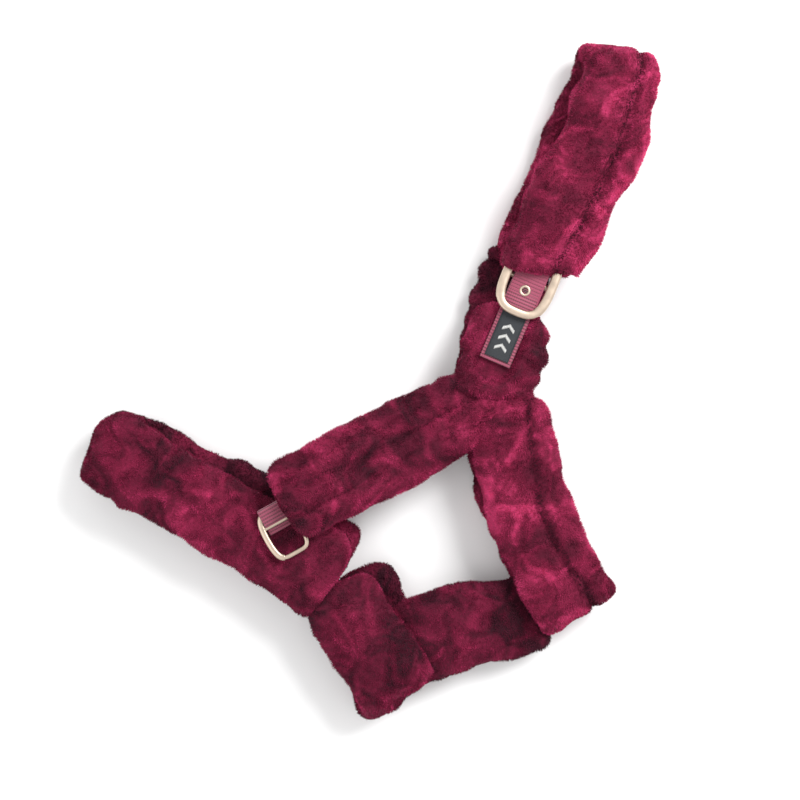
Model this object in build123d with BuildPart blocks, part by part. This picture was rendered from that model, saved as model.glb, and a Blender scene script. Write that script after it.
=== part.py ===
from build123d import *
import math
import os

# Fleece-covered horse head collar lying flat on its far side. Millimetres, +Z up, floor at z = 0.
# Every strap is 25 mm webbing inside a padded fleece sleeve. The far half lies under the near half.

# ---- webbing and sleeves ----
web_width = 25.0
web_thick = 1.8
slot_play = 0.7
sleeve_thick = 22.0
layer_gap = 7.0
pad_thick = 22.0
crown_thick = 26.0
edge_round = 9.0
cheek_width = 61.0
nose_width = 64.0
chin_width = 66.0
throat_width = 66.0
jaw_width = 64.0
crown_width = 64.0
pad_width = 66.0
cheek_length = 142.0
far_cheek_cutback = 46.0
nose_length = 205.0
chin_flat = 65.5
chin_length = chin_flat + sleeve_thick + layer_gap / 2
throat_length = 146.0
jaw_length = 76.0
crown_length = 186.0
pad_length = 50.0
far_pad_thick = 24.0
far_pad_lead = 34.0
cheek_level_run = 30.0
cheek_descent_end = 88.0

# ---- buckle, tongue, tail and label ----
bar_radius = 2.2
buckle_play = 2.5
buckle_reach = 29.0
buckle_side = 6.5
buckle_width = web_width + 2 * buckle_play + 2 * buckle_side
buckle_end = 5.5
buckle_thick = 3.6
buckle_corner = 13.0
tongue_radius = 1.1
collar_wall = 1.5
fit_gap = 0.35
tail_length = 23.5
eyelet_from_bar = 7.5
tongue_hole = 9.0
crown_far_reach = 9.0
bar_drop = 6.0
eyelet_hole = 4.6
eyelet_outer = 8.8
eyelet_rim = 0.5
label_begin = 30.0
label_end = 66.0
label_width = 20.0
label_thick = 0.8
mouth_play = 1.5
mouth_width = buckle_width + 2 * mouth_play
mouth_depth = 28.0
mouth_height = 20.0

# ---- rings ----
side_ring_length = 41.0
side_ring_width = 30.0
side_ring_wire = 4.0
side_ring_bar = 3.0
side_ring_corner = 6.0
side_bar_offset = 10.0
ring_radius = 20.0
ring_wire = 4.0
chin_ring_radius = 15.0
chin_ring_wire = 3.0
web_tail = 4.0
rise_radius = 50.0
ring_mouth = 24.0
ring_mouth_shift = 17.0

# ---- places and directions seen from above: x, y, then degrees from +X ----
cheek_start = (-65.2, -97.0)
cheek_angle = 29.1
nose_start = (-31.2, -154.6)
nose_angle = 150.0
chin_start = (-21.5, -170.4)
chin_angle = -58.4
throat_start = (117.4, -41.8)
throat_angle = -71.3
jaw_start = (48.8, -202.5)
jaw_angle = 16.3
crown_start = (124.8, 80.0)
crown_angle = 68.0
buckle_centre = (121.8, 74.0)
buckle_angle = -113.0
upper_ring_centre = (88.8, -27.0)
side_ring_centre = (-65.8, -117.7)
chin_ring_centre = (27.8, -199.0)
side_ring_angle = 119.0

# ---- heights of the two layers ----
far_z = sleeve_thick / 2
fold_radius = (sleeve_thick + layer_gap) / 2
near_z = far_z + 2 * fold_radius
near_top = near_z + sleeve_thick / 2
cheek_end_z = near_top + 1.0 + sleeve_thick / 2
slot_width = web_width + 2 * slot_play
slot_height = web_thick + 2 * slot_play

os.makedirs("parts", exist_ok=True)


def across_plane(start, angle, distance, height):
    """Plane square to a strap at a distance along it: its x is across and its y is up."""
    turn = math.radians(angle)
    along = Vector(math.cos(turn), math.sin(turn), 0)
    origin = Vector(start[0], start[1], height) + along * distance
    return Plane(origin=origin, x_dir=(math.sin(turn), -math.cos(turn), 0), z_dir=along)


def strap_plane(start, angle):
    """Vertical plane through a strap: its x runs along the strap and its y is up."""
    turn = math.radians(angle)
    return Plane(
        origin=(start[0], start[1], 0),
        x_dir=(math.cos(turn), math.sin(turn), 0),
        z_dir=(math.sin(turn), -math.cos(turn), 0),
    )


def place_along(start, angle, distance):
    """Point seen from above at a distance along a strap."""
    turn = math.radians(angle)
    return (start[0] + distance * math.cos(turn), start[1] + distance * math.sin(turn))


def sleeve_section(width, thick):
    """Round-edged padding with a slot through it for the webbing."""
    RectangleRounded(width, thick, edge_round)
    Rectangle(slot_width, slot_height, mode=Mode.SUBTRACT)


def folded_path(thick, length, near_from, far_to):
    """Side view of a loop laid flat: along the near layer, round the fold, back along the far one."""
    low = thick / 2
    bend = (thick + layer_gap) / 2
    high = low + 2 * bend
    turn_at = length - bend - low
    Line((near_from, high), (turn_at, high))
    ThreePointArc((turn_at, high), (turn_at + bend, high - bend), (turn_at, low))
    Line((turn_at, low), (far_to, low))


def folded_sleeve(start, angle, length, width, thick):
    """Fleece sleeve of a strap that is folded over at its far end."""
    with BuildPart() as sleeve:
        with BuildLine(strap_plane(start, angle)) as route:
            folded_path(thick, length, 0, 0)
        with BuildSketch(across_plane(start, angle, 0, thick * 1.5 + layer_gap)):
            sleeve_section(width, thick)
        sweep(path=route.wires()[0])
    return sleeve


def folded_webbing(start, angle, length, thick, near_from, far_to):
    """Webbing of a strap that is folded over at its far end."""
    with BuildPart() as strap:
        with BuildLine(strap_plane(start, angle)) as route:
            folded_path(thick, length, near_from, far_to)
        with BuildSketch(across_plane(start, angle, near_from, thick * 1.5 + layer_gap)):
            Rectangle(web_width, web_thick)
        sweep(path=route.wires()[0])
    return strap


def straight_sleeve(start, angle, length, width, thick, height):
    """Fleece sleeve of a straight strap."""
    with BuildPart() as sleeve:
        with BuildSketch(across_plane(start, angle, 0, height)):
            sleeve_section(width, thick)
        extrude(amount=length)
    return sleeve


def level_webbing(start, angle, begin, end, height):
    """Level run of 25 mm webbing between two distances along a strap."""
    with BuildPart() as strap:
        with BuildSketch(across_plane(start, angle, begin, height)):
            Rectangle(web_width, web_thick)
        extrude(amount=end - begin)
    return strap


def round_ring(centre, height, radius, wire):
    """Round welded ring that lies flat."""
    with BuildPart() as ring:
        with Locations((centre[0], centre[1], height)):
            Torus(radius, wire / 2)
    return ring


def side_ring(centre, height, angle):
    """Square halter ring with a crossbar: its length runs along the angle."""
    turn = math.radians(angle)
    plane = Plane(origin=(centre[0], centre[1], height - side_ring_wire / 2),
                  x_dir=(math.cos(turn), math.sin(turn), 0), z_dir=(0, 0, 1))
    with BuildPart() as ring:
        with BuildSketch(plane):
            RectangleRounded(side_ring_length, side_ring_width, side_ring_corner)
            inner_corner = side_ring_corner - side_ring_wire
            RectangleRounded(side_ring_length - 2 * side_ring_bar, side_ring_width - 2 * side_ring_wire,
                             inner_corner, mode=Mode.SUBTRACT)
            with Locations((side_bar_offset, 0)):
                Rectangle(side_ring_bar, side_ring_width - side_ring_wire)
        extrude(amount=side_ring_wire)
        fillet(ring.faces().sort_by(Axis.Z)[-1].edges(), 0.8)
        fillet(ring.faces().sort_by(Axis.Z)[0].edges(), 0.8)
    return ring


def finish_piece(piece, name):
    """Label one finished piece and write its STEP file."""
    piece.part.label = name
    export_step(piece.part, "parts/" + name + ".step")


# ---- the three folded sleeves and their webbing ----
for name, start, angle, length, width in (
    ("nose", nose_start, nose_angle, nose_length, nose_width),
    ("chin", chin_start, chin_angle, chin_length, chin_width),
    ("throat", throat_start, throat_angle, throat_length, throat_width),
):
    finish_piece(folded_sleeve(start, angle, length, width, sleeve_thick), name + "_sleeve")

finish_piece(folded_webbing(nose_start, nose_angle, nose_length, sleeve_thick, 2, 2), "nose_webbing")
finish_piece(folded_webbing(chin_start, chin_angle, chin_length, sleeve_thick, 2, 2), "chin_webbing")
finish_piece(folded_webbing(throat_start, throat_angle, throat_length, sleeve_thick, -web_tail, -web_tail),
             "throat_webbing")

# ---- upper rings, where crown, cheek and throat straps meet ----
ring_lift = ring_wire / 2 + fit_gap + web_thick / 2
for name, height in (("near", near_z), ("far", far_z)):
    upper_ring = round_ring(upper_ring_centre, height + ring_lift, ring_radius, ring_wire)
    finish_piece(upper_ring, "upper_ring_" + name)

# ---- cheek straps ----
cheek_rise = (
    (0, cheek_end_z),
    (cheek_level_run, cheek_end_z),
    (cheek_descent_end, near_z),
    (cheek_length, near_z),
)
with BuildPart() as cheek_sleeve_near:
    with BuildLine(strap_plane(cheek_start, cheek_angle)) as cheek_route:
        FilletPolyline(*cheek_rise, radius=rise_radius)
    with BuildSketch(across_plane(cheek_start, cheek_angle, 0, cheek_end_z)):
        sleeve_section(cheek_width, sleeve_thick)
    sweep(path=cheek_route.wires()[0])
    with BuildSketch(across_plane(cheek_start, cheek_angle, -1, near_top + side_ring_wire / 2 + 1)):
        with Locations((ring_mouth_shift, 0)):
            Rectangle(mouth_width, side_ring_wire + 3)
    extrude(amount=ring_mouth, mode=Mode.SUBTRACT)
finish_piece(cheek_sleeve_near, "cheek_sleeve_near")

cheek_web_rise = (
    (3, cheek_end_z),
    (cheek_level_run, cheek_end_z),
    (cheek_descent_end, near_z),
    (cheek_length + web_tail, near_z),
)
with BuildPart() as cheek_webbing_near:
    with BuildLine(strap_plane(cheek_start, cheek_angle)) as cheek_web_route:
        FilletPolyline(*cheek_web_rise, radius=rise_radius)
    with BuildSketch(across_plane(cheek_start, cheek_angle, 3, cheek_end_z)):
        Rectangle(web_width, web_thick)
    sweep(path=cheek_web_route.wires()[0])
finish_piece(cheek_webbing_near, "cheek_webbing_near")

far_cheek_start = place_along(cheek_start, cheek_angle, far_cheek_cutback)
far_cheek_length = cheek_length - far_cheek_cutback
cheek_sleeve_far = straight_sleeve(far_cheek_start, cheek_angle, far_cheek_length, cheek_width,
                                   sleeve_thick, far_z)
finish_piece(cheek_sleeve_far, "cheek_sleeve_far")
finish_piece(level_webbing(far_cheek_start, cheek_angle, -web_tail, far_cheek_length + web_tail, far_z),
             "cheek_webbing_far")

# ---- side rings, which join the cheek straps to the noseband ----
near_ring_z = near_top + fit_gap + side_ring_wire / 2
finish_piece(side_ring(side_ring_centre, near_ring_z, side_ring_angle), "side_ring_near")
far_ring_centre = place_along(cheek_start, cheek_angle, far_cheek_cutback - side_ring_width / 2 - 4)
finish_piece(side_ring(far_ring_centre, far_z + ring_lift, side_ring_angle), "side_ring_far")

# ---- jaw strap and the ring of the chin strap ----
jaw_z = sleeve_thick + layer_gap / 2 - chin_ring_wire / 2
jaw_sleeve = straight_sleeve(jaw_start, jaw_angle, jaw_length, jaw_width, sleeve_thick, jaw_z)
finish_piece(jaw_sleeve, "jaw_sleeve")
finish_piece(level_webbing(jaw_start, jaw_angle, -web_tail / 2, jaw_length + 2, jaw_z), "jaw_webbing")
chin_ring_z = jaw_z + web_thick / 2 + fit_gap + chin_ring_wire / 2
finish_piece(round_ring(chin_ring_centre, chin_ring_z, chin_ring_radius, chin_ring_wire), "chin_ring")

# ---- crown: its strap runs from the tail in the buckle, through the fold, to the far pad ----
crown_near_z = crown_thick * 1.5 + layer_gap
with BuildPart() as crown_sleeve:
    with BuildLine(strap_plane(crown_start, crown_angle)) as crown_route:
        folded_path(crown_thick, crown_length, 0, 0)
    with BuildSketch(across_plane(crown_start, crown_angle, 0, crown_near_z)):
        sleeve_section(crown_width, crown_thick)
    sweep(path=crown_route.wires()[0])
    with BuildSketch(across_plane(crown_start, crown_angle, -1, crown_near_z)):
        Rectangle(mouth_width, mouth_height)
    extrude(amount=mouth_depth, mode=Mode.SUBTRACT)
finish_piece(crown_sleeve, "crown_sleeve")

tail_from = -tail_length - math.dist(crown_start, buckle_centre)
eyelet_places = (tail_from + tail_length - eyelet_from_bar, tail_from + tail_length + tongue_hole)
with BuildPart() as crown_webbing:
    with BuildLine(strap_plane(crown_start, crown_angle)) as crown_web_route:
        folded_path(crown_thick, crown_length, tail_from, -crown_far_reach)
    with BuildSketch(across_plane(crown_start, crown_angle, tail_from, crown_near_z)):
        Rectangle(web_width, web_thick)
    sweep(path=crown_web_route.wires()[0])
    holes = across_plane(crown_start, crown_angle, tail_from, crown_near_z)
    with Locations(*[
        Location(Plane(origin=(*place_along(crown_start, crown_angle, at), crown_near_z + web_thick / 2)))
        for at in eyelet_places
    ]):
        Hole(radius=eyelet_hole / 2 + eyelet_rim + fit_gap, depth=web_thick * 2)
finish_piece(crown_webbing, "crown_webbing")

with BuildPart() as eyelets:
    for at in eyelet_places:
        eyelet_spot = place_along(crown_start, crown_angle, at)
        eyelet_plane = Plane(origin=(*eyelet_spot, crown_near_z + web_thick / 2))
        with BuildSketch(eyelet_plane.offset(0.05)):
            Circle(eyelet_outer / 2)
            Circle(eyelet_hole / 2, mode=Mode.SUBTRACT)
        extrude(amount=eyelet_rim)
        with BuildSketch(eyelet_plane.offset(0.05)):
            Circle(eyelet_hole / 2 + eyelet_rim)
            Circle(eyelet_hole / 2, mode=Mode.SUBTRACT)
        extrude(amount=-web_thick)
finish_piece(eyelets, "eyelets")

# ---- anchor strap: from the near upper ring, through the pad, round the buckle bar and back on top ----
bar_z = crown_near_z - bar_drop
wrap_radius = bar_radius + fit_gap + web_thick / 2
pad_z = bar_z - wrap_radius
pad_start = place_along(buckle_centre, buckle_angle, buckle_reach + 2)
anchor_end = buckle_reach + 2 + pad_length + web_tail
with BuildPart() as anchor_strap:
    with BuildLine(strap_plane(buckle_centre, buckle_angle)) as anchor_route:
        Line((label_end + 2, bar_z + wrap_radius), (0, bar_z + wrap_radius))
        ThreePointArc((0, bar_z + wrap_radius), (-wrap_radius, bar_z), (0, bar_z - wrap_radius))
        Line((0, bar_z - wrap_radius), (anchor_end, bar_z - wrap_radius))
    with BuildSketch(across_plane(buckle_centre, buckle_angle, label_end + 2, bar_z + wrap_radius)):
        Rectangle(web_width, web_thick)
    sweep(path=anchor_route.wires()[0])
    with BuildSketch(across_plane(buckle_centre, buckle_angle, -2 * wrap_radius, bar_z)):
        Rectangle(2 * tongue_radius + 2.4, 4 * wrap_radius)
    extrude(amount=4 * wrap_radius, mode=Mode.SUBTRACT)
finish_piece(anchor_strap, "anchor_strap")

with BuildPart() as woven_label:
    with BuildSketch(across_plane(buckle_centre, buckle_angle, label_begin,
                                  bar_z + wrap_radius + web_thick / 2 + label_thick / 2)):
        Rectangle(label_width, label_thick)
    extrude(amount=label_end - label_begin)
finish_piece(woven_label, "woven_label")

# ---- pads over the upper rings; the near one has a channel pressed in by the labelled strap ----
with BuildPart() as pad_near:
    with BuildSketch(across_plane(pad_start, buckle_angle, 0, pad_z)):
        sleeve_section(pad_width, pad_thick)
    extrude(amount=pad_length)
    with BuildSketch(across_plane(pad_start, buckle_angle, 0, pad_z + pad_thick / 2)):
        Rectangle(slot_width, 2 * (pad_z + pad_thick / 2 - bar_z - bar_radius - slot_play / 2))
    extrude(amount=label_end + 3 - buckle_reach - 2, mode=Mode.SUBTRACT)
finish_piece(pad_near, "pad_near")
far_pad_z = crown_thick / 2
far_pad_start = place_along(buckle_centre, buckle_angle, buckle_reach + 2 - far_pad_lead)
far_pad_length = far_pad_lead + pad_length
pad_far = straight_sleeve(far_pad_start, buckle_angle, far_pad_length, pad_width, far_pad_thick, far_pad_z)
finish_piece(pad_far, "pad_far")
crown_far_tip = crown_far_reach - math.dist(crown_start, far_pad_start)
pad_webbing_far = level_webbing(far_pad_start, buckle_angle, crown_far_tip + 1, far_pad_length, far_pad_z)
finish_piece(pad_webbing_far, "pad_webbing_far")

# ---- buckle frame: a rim that rides above the straps and a lower centre bar between two posts ----
turn = math.radians(buckle_angle)
frame_plane = Plane(origin=(buckle_centre[0], buckle_centre[1], crown_near_z + web_thick / 2 + eyelet_rim),
                    x_dir=(math.cos(turn), math.sin(turn), 0), z_dir=(0, 0, 1))
post_height = frame_plane.origin.Z - bar_z + bar_radius
with BuildPart() as buckle_frame:
    with BuildSketch(frame_plane.offset(fit_gap)):
        RectangleRounded(2 * buckle_reach, buckle_width, buckle_corner)
        RectangleRounded(2 * (buckle_reach - buckle_end), buckle_width - 2 * buckle_side,
                         buckle_corner - buckle_side, mode=Mode.SUBTRACT)
    extrude(amount=buckle_thick)
    fillet(buckle_frame.faces().sort_by(Axis.Z)[-1].edges(), 1.2)
    with BuildSketch(frame_plane.offset(fit_gap)):
        with GridLocations(0, buckle_width - buckle_side, 1, 2):
            Rectangle(2 * bar_radius, buckle_side - 1)
    extrude(amount=-post_height - fit_gap)
    bar_side = Plane(origin=(buckle_centre[0], buckle_centre[1], bar_z),
                     z_dir=(math.sin(turn), -math.cos(turn), 0))
    with BuildSketch(bar_side):
        Circle(bar_radius)
    extrude(amount=buckle_width / 2 - buckle_side / 2, both=True)
finish_piece(buckle_frame, "buckle_frame")

# ---- tongue: a collar round the bar and a pin that runs up through the strap onto the rim ----
pin_rest = crown_near_z + web_thick / 2 + eyelet_rim + fit_gap + buckle_thick + fit_gap + tongue_radius
collar_radius = bar_radius + fit_gap
with BuildPart() as tongue:
    with BuildSketch(strap_plane(buckle_centre, buckle_angle)):
        with BuildLine():
            Polyline((-bar_radius, bar_z), (-tongue_hole + 0.4, bar_z + 0.6),
                     (-tongue_hole - 0.4, pin_rest), (-buckle_reach + 1.0, pin_rest))
        trace(line_width=2 * tongue_radius)
        with Locations((0, bar_z)):
            Circle(collar_radius + collar_wall)
            Circle(collar_radius, mode=Mode.SUBTRACT)
    extrude(amount=tongue_radius, both=True)
    fillet(tongue.edges().filter_by(GeomType.LINE).group_by(Axis.Z)[-1], 0.5)
finish_piece(tongue, "tongue")
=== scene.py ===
import math

import bpy
import numpy as np
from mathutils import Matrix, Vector


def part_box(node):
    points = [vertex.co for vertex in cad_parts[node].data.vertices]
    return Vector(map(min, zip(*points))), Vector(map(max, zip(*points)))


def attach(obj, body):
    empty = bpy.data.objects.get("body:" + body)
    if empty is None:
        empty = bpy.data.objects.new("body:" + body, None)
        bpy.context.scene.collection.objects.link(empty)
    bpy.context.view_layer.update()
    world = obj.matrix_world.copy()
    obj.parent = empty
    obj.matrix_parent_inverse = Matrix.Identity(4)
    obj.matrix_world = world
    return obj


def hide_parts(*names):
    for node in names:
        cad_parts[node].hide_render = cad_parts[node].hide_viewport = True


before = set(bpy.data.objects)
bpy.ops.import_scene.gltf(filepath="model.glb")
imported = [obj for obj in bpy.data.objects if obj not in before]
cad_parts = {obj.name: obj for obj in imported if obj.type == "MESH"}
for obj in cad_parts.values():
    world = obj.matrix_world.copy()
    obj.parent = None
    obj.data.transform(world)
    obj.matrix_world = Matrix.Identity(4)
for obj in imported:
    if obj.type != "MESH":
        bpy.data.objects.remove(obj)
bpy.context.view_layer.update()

bl_info = {
    "name": "Fleece head collar",
    "version": (1, 0, 0),
    "blender": (4, 5, 0),
    "location": "View3D > Sidebar > Head Collar",
    "description": "Builds a plush-covered head collar, its webbing, its metal and its studio",
    "category": "Add Mesh",
}

MM = 0.001
WEBBING_WIDTH = 25.0
BUCKLE_ANGLE = math.radians(-113.0)
BUCKLE_ALONG = np.array([math.cos(BUCKLE_ANGLE), math.sin(BUCKLE_ANGLE), 0])
BUCKLE_ACROSS = np.array([BUCKLE_ALONG[1], -BUCKLE_ALONG[0], 0])
SIDE_RING_ANGLE = math.radians(119.0)
SIDE_RING_HALF_LENGTH = 20
BAR_RADIUS = 2.2
WEB_STEP = 0.32
TAIL_END = 23.5
EYELET_PLACE = 8.5


# ---------------------------------------------------------------- shapes in numpy

def smooth_noise(points, wavelength, seed, waves=14):
    """Smooth random field: the sum of many sine waves of about one wavelength that run in random
    directions with random phases, divided by the square root of half their number."""
    rng = np.random.default_rng(seed)
    heading = rng.normal(size=(waves, 3))
    heading /= np.linalg.norm(heading, axis=1)[:, None]
    pitch = 2 * math.pi / (wavelength * rng.uniform(0.7, 1.4, waves))
    phase = rng.uniform(0, 2 * math.pi, waves)
    angle = points @ (heading * pitch[:, None]).T + phase
    return np.sin(angle).sum(axis=1) / math.sqrt(waves / 2)


def spline_through(knots, t):
    """Catmull-Rom curve through the knots (rows), read at t from 0 to 1: each span is the cubic that
    passes its two knots with slopes of half the step between their neighbours."""
    knots = np.asarray(knots, float)
    spans = len(knots) - 1
    padded = np.vstack([2 * knots[0] - knots[1], knots, 2 * knots[-1] - knots[-2]])
    place = np.clip(t, 0, 1) * spans
    i = np.minimum(place.astype(int), spans - 1)
    f = (place - i)[:, None]
    a, b, c, d = padded[i], padded[i + 1], padded[i + 2], padded[i + 3]
    return 0.5 * (2 * b + (c - a) * f + (2 * a - 5 * b + 4 * c - d) * f**2 + (3 * b - a - 3 * c + d) * f**3)


def even_run(knots, step):
    """Points an even step apart along the curve through the knots: rows of plan x, y, then the rest."""
    fine = spline_through(knots, np.linspace(0, 1, 600))
    length = np.concatenate([[0], np.cumsum(np.linalg.norm(np.diff(fine[:, :2], axis=0), axis=1))])
    count = max(int(round(length[-1] / step)), 8) + 1
    where = np.linspace(0, length[-1], count)
    return np.stack([np.interp(where, length, fine[:, k]) for k in range(fine.shape[1])], axis=1)


def plan_frame(run):
    """Unit directions along and across a run, seen from above."""
    along = np.gradient(run[:, :2], axis=0)
    along /= np.linalg.norm(along, axis=1)[:, None]
    across = np.stack([along[:, 1], -along[:, 0]], axis=1)
    return along, across


def tube_path(near, far_shift, fold, far_thick, floor, step=1.6):
    """Centre line of a sleeve. near holds rows of x, y, height, width and thickness. With a fold it goes on
    round a half circle that drops to the far layer and back under itself, moved sideways by far_shift.
    Returns centre points, across vectors, thickness vectors, widths and thicknesses."""
    run = even_run(near, step)
    along, across = plan_frame(run)
    zero = np.zeros(len(run))
    centre = np.column_stack([run[:, 0], run[:, 1], run[:, 2]])
    side = np.column_stack([across, zero])
    width, depth = run[:, 3], run[:, 4]
    if fold:
        far_z = floor + far_thick / 2
        bend = (run[-1, 2] - far_z) / 2
        turn = np.linspace(0, math.pi, 26)[1:-1]
        out = np.column_stack([np.outer(np.sin(turn) * bend, along[-1]), np.cos(turn) * bend - bend])
        shift = np.linspace(0, 1, len(turn))[:, None] * far_shift[-1] * side[-1]
        round_fold = centre[-1] + out + shift
        back = run[::-1]
        lateral = np.interp(np.linspace(1, 0, len(run)), np.linspace(0, 1, len(far_shift)), far_shift)
        far = np.column_stack([back[:, 0], back[:, 1], zero + far_z]) + lateral[:, None] * side[::-1]
        centre = np.vstack([centre, round_fold, far])
        side = np.vstack([side, np.repeat(side[-1:], len(turn), axis=0), side[::-1]])
        width = np.concatenate([width, np.full(len(turn), run[-1, 3]), back[:, 3] * 0.98])
        depth = np.concatenate([depth, np.linspace(run[-1, 4], far_thick, len(turn)), zero + far_thick])
    forward = np.gradient(centre, axis=0)
    forward /= np.linalg.norm(forward, axis=1)[:, None]
    lift = np.cross(side, forward)
    lift *= np.sign(np.where(np.abs(lift[:1, 2]) < 1e-6, 1, lift[:1, 2]))[:, None]
    lift /= np.linalg.norm(lift, axis=1)[:, None]
    return centre, side, lift, width, depth


def plush_tube(near, *, far_shift=(0, 0), fold=True, far_thick=22, floor=0.6, seam=None, gathers=0, seed=1,
               ends=(13, 13), around=72, puff=1.5, square=2.5):
    """Closed padded tube: a superellipse section is carried along the sleeve's path, drawn in to a point
    over a rounded end at both ends, and pushed in and out by smooth noise, by a stitched groove along
    the seam and by lobes across the gathered stretches. Returns points in mm, and for each how deep in a
    groove or between gathers it lies, which the pile turns into painted shade."""
    centre, side, lift, width, depth = tube_path(near, far_shift, fold, far_thick, floor)
    rows = len(centre)
    travel = np.concatenate([[0], np.cumsum(np.linalg.norm(np.diff(centre, axis=0), axis=1))])
    total = travel[-1]
    first = np.clip(travel / ends[0], 0, 1)
    last = np.clip((total - travel) / ends[1], 0, 1)
    close = np.sqrt(np.clip(1 - (1 - first) ** 2.6, 0, 1) * np.clip(1 - (1 - last) ** 2.6, 0, 1))
    close = np.maximum(close, 0.02)
    v = np.linspace(0, 2 * math.pi, around, endpoint=False)
    c, s = np.cos(v), np.sin(v)
    x = np.sign(c) * np.abs(c) ** (2 / square)
    y = np.sign(s) * np.abs(s) ** (2 / square)
    half = (width / 2 - 2.6)[:, None] * (0.35 + 0.65 * close[:, None]) * np.minimum(close * 1.6, 1)[:, None]
    tall = (depth / 2 - 1.6)[:, None] * close[:, None]
    points = (centre[:, None, :] + side[:, None, :] * (half * x)[:, :, None]
              + lift[:, None, :] * (tall * y)[:, :, None])
    flank = (x / np.maximum(half, 1))[:, :, None]
    crest = (y / np.maximum(tall, 1))[:, :, None]
    radial = side[:, None, :] * flank + lift[:, None, :] * crest
    radial /= np.maximum(np.linalg.norm(radial, axis=2), 1e-9)[:, :, None]
    flat = points.reshape(-1, 3)
    push = (puff * smooth_noise(flat, 55, seed) + 0.42 * puff * smooth_noise(flat, 26, seed + 1)
            + 0.1 * puff * smooth_noise(flat, 11, seed + 2)).reshape(rows, around)
    across_at = half * x / np.maximum(half.max(), 1)
    top = np.clip(y, 0, 1)[None, :] ** 0.3
    # How deep each point lies in the groove or between gathers: used only to paint shade into the pile there.
    painted_crease_shade = np.zeros_like(push)
    for number, (place, deep, wide) in enumerate(seam or ()):
        wander = 0.05 * np.sin(travel / 23 + seed + 2 * number)[:, None]
        depth_along = deep * (0.8 + 0.2 * np.sin(travel / 31 + 3 * number + seed))[:, None]
        groove = np.exp(-(((across_at - place - wander) / wide) ** 2)) * top
        push -= depth_along * groove
        painted_crease_shade += groove * deep / 5
    if gathers:
        ripple = 0.5 + 0.5 * np.cos(2 * math.pi * travel / gathers + 0.9 * np.sin(travel / 17.0 + seed))
        skew = 0.5 + 0.5 * np.cos(2 * math.pi * travel[:, None] / gathers + 1.4 * x[None, :] + seed)
        fold_height = np.sqrt(0.55 * ripple[:, None] + 0.45 * skew)
        push += 4.2 * fold_height - 2.8
        painted_crease_shade += np.clip(0.55 - fold_height, 0, 1) * 1.6
    push = np.maximum(push, -5.6)
    points = points + radial * (push * close[:, None])[:, :, None]
    points[..., 2] = np.maximum(points[..., 2], 0.5)
    return points, painted_crease_shade


def grid_mesh(points):
    """Quads between neighbouring rows and columns of a grid that closes round its columns, with a cap at
    each end. Faces are turned to point outwards by the sign of the enclosed volume."""
    rows, cols = points.shape[:2]
    i = np.arange(rows - 1)[:, None] * cols
    j = np.arange(cols)[None, :]
    k = (j + 1) % cols
    quads = np.stack([i + j, i + k, i + cols + k, i + cols + j], axis=-1).reshape(-1, 4)
    vertices = points.reshape(-1, 3)
    tips = np.vstack([points[0].mean(axis=0), points[-1].mean(axis=0)])
    n = rows * cols
    ring = np.arange(cols)
    after = (ring + 1) % cols
    start = np.stack([np.full(cols, n), after, ring], axis=-1)
    stop = np.stack([np.full(cols, n + 1), (rows - 1) * cols + ring, (rows - 1) * cols + after], axis=-1)
    vertices = np.vstack([vertices, tips])
    triangles = np.vstack([quads[:, [0, 1, 2]], quads[:, [0, 2, 3]], start, stop])
    a, b, d = (vertices[triangles[:, m]] for m in range(3))
    volume = np.einsum("ij,ij->i", a, np.cross(b, d)).sum()
    if volume < 0:
        quads, start, stop = quads[:, ::-1], start[:, ::-1], stop[:, ::-1]
    return vertices, [quads, start, stop]


def mesh_object(name, vertices, face_groups, smooth=True):
    """New object from points in mm and arrays of faces, with its place in its mesh in metres."""
    mesh = bpy.data.meshes.new(name)
    counts = np.concatenate([np.full(len(g), g.shape[1]) for g in face_groups])
    loops = np.concatenate([g.reshape(-1) for g in face_groups]).astype(np.int32)
    starts = np.concatenate([[0], np.cumsum(counts)[:-1]]).astype(np.int32)
    mesh.vertices.add(len(vertices))
    mesh.vertices.foreach_set("co", (np.asarray(vertices) * MM).astype(np.float32).reshape(-1))
    mesh.loops.add(len(loops))
    mesh.loops.foreach_set("vertex_index", loops)
    mesh.polygons.add(len(counts))
    mesh.polygons.foreach_set("loop_start", starts)
    mesh.update(calc_edges=True)
    mesh.validate()
    mesh.polygons.foreach_set("use_smooth", np.full(len(counts), smooth))
    piece = bpy.data.objects.new(name, mesh)
    bpy.context.scene.collection.objects.link(piece)
    return piece


def set_tint(mesh, values):
    """Point attribute that the plush material reads for its light and dark patches: random patches of the
    crushed pile, with painted shade and painted light added in.
    """
    layer = mesh.attributes.new("nap_and_painted_shading", "FLOAT", "POINT")
    layer.data.foreach_set("value", np.asarray(values, np.float32))


def nap_field(points, seed):
    """How light the crushed pile lies at each point: broad and middling smooth noise, squeezed to 0 to 1."""
    broad = smooth_noise(points, 70, seed + 5)
    bent = points + 7 * np.stack([smooth_noise(points, 31, seed + 8), smooth_noise(points, 31, seed + 9),
                                  0 * broad], axis=1)
    middle = smooth_noise(bent, 27, seed + 6)
    fine = smooth_noise(bent, 11, seed + 7)
    return 0.52 + 0.15 * np.tanh(0.8 * broad) + 0.15 * np.tanh(0.8 * middle) + 0.07 * fine


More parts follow.
